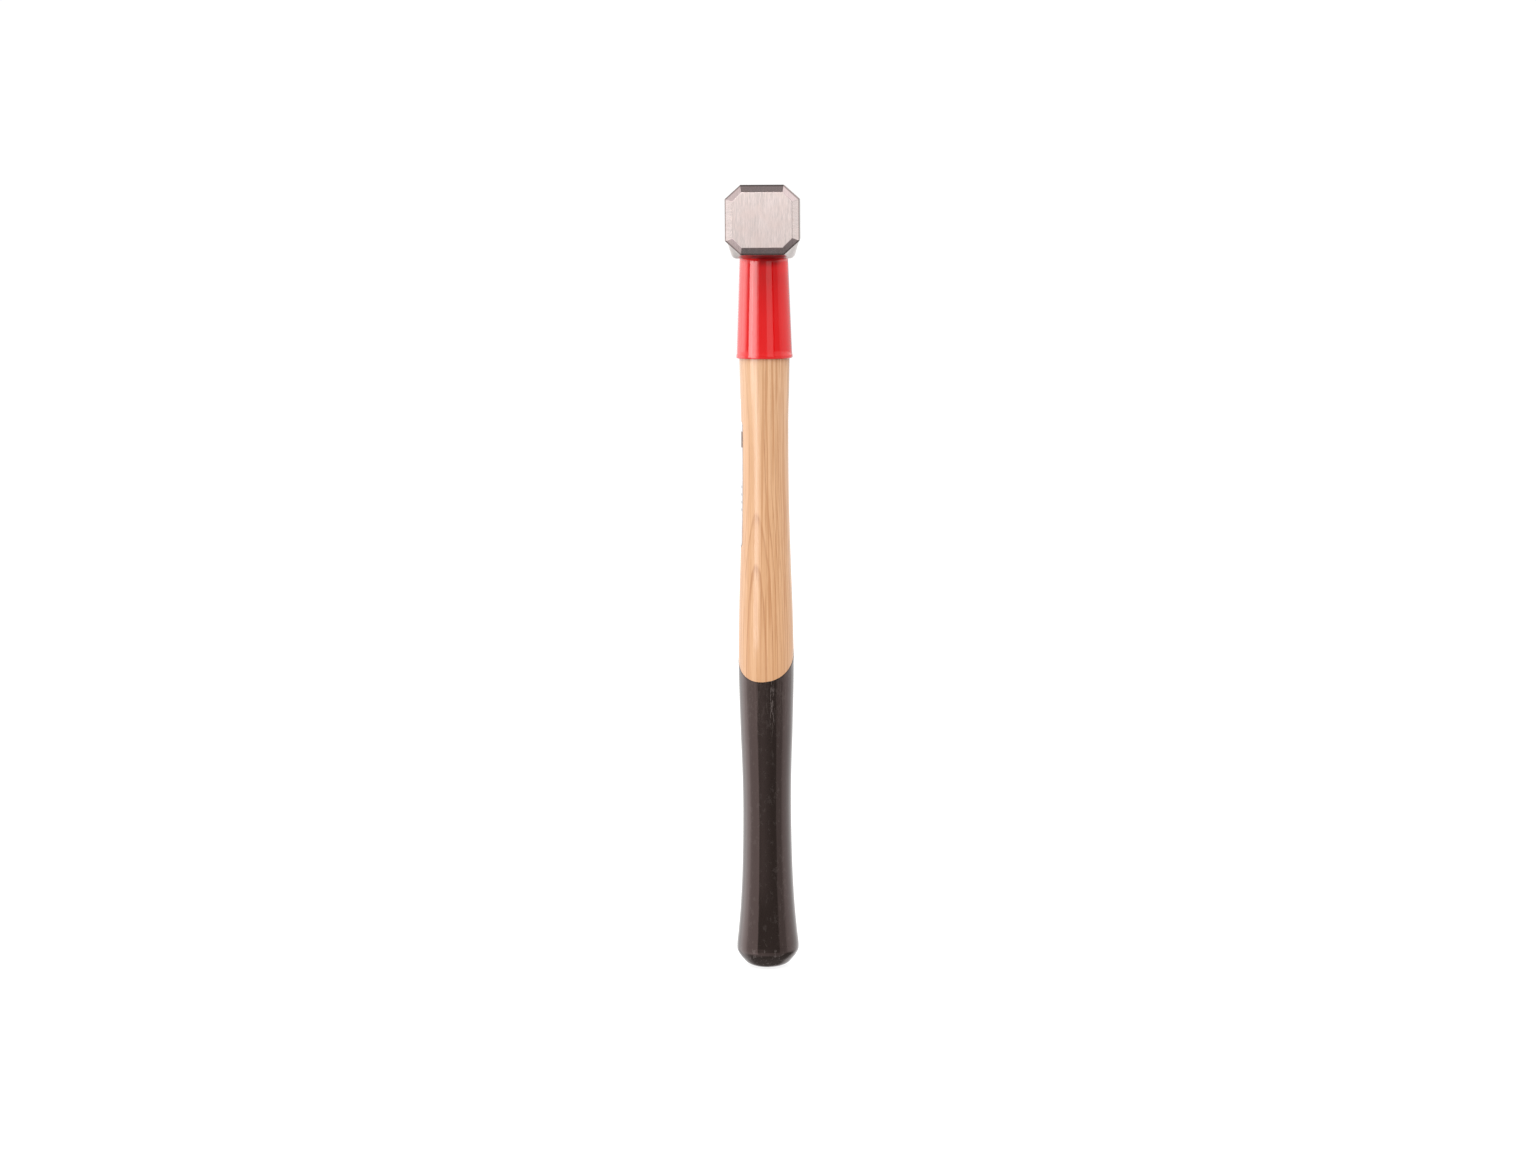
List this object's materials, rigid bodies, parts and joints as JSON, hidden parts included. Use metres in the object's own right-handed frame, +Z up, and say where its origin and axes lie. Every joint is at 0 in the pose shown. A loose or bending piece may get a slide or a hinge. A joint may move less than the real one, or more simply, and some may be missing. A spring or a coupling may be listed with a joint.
{
  "type": "lump hammer",
  "caption": "Double-faced striking hammer: octagonal forged steel head wedged on an ash handle, with a red protective sleeve under the head and a black dipped grip.",
  "frame": {"origin": "middle of the butt's flat end", "axes": "+Z up the handle to the head, -Y and +Y out of the two striking faces, +X across the handle's narrow way"},
  "size_m": [0.038, 0.114, 0.4108],
  "materials": {
    "head_steel": "ground, with fine grinding lines",
    "handle_wood": "clear satin lacquer on ash",
    "sleeve_paint": "high gloss",
    "grip_dip": "gloss dip coat",
    "wedge_wood": "sawn hardwood",
    "wedge_steel": "plain",
    "label_stock": "satin film"
  },
  "bodies": {
    "root": {"hammer_head": "head_steel", "handle": "handle_wood", "protective_sleeve": "sleeve_paint", "grip_coating": "grip_dip", "wood_wedge": "wedge_wood", "ring_wedge": "wedge_steel", "handle_label": "label_stock"}
  },
  "joints": []
}
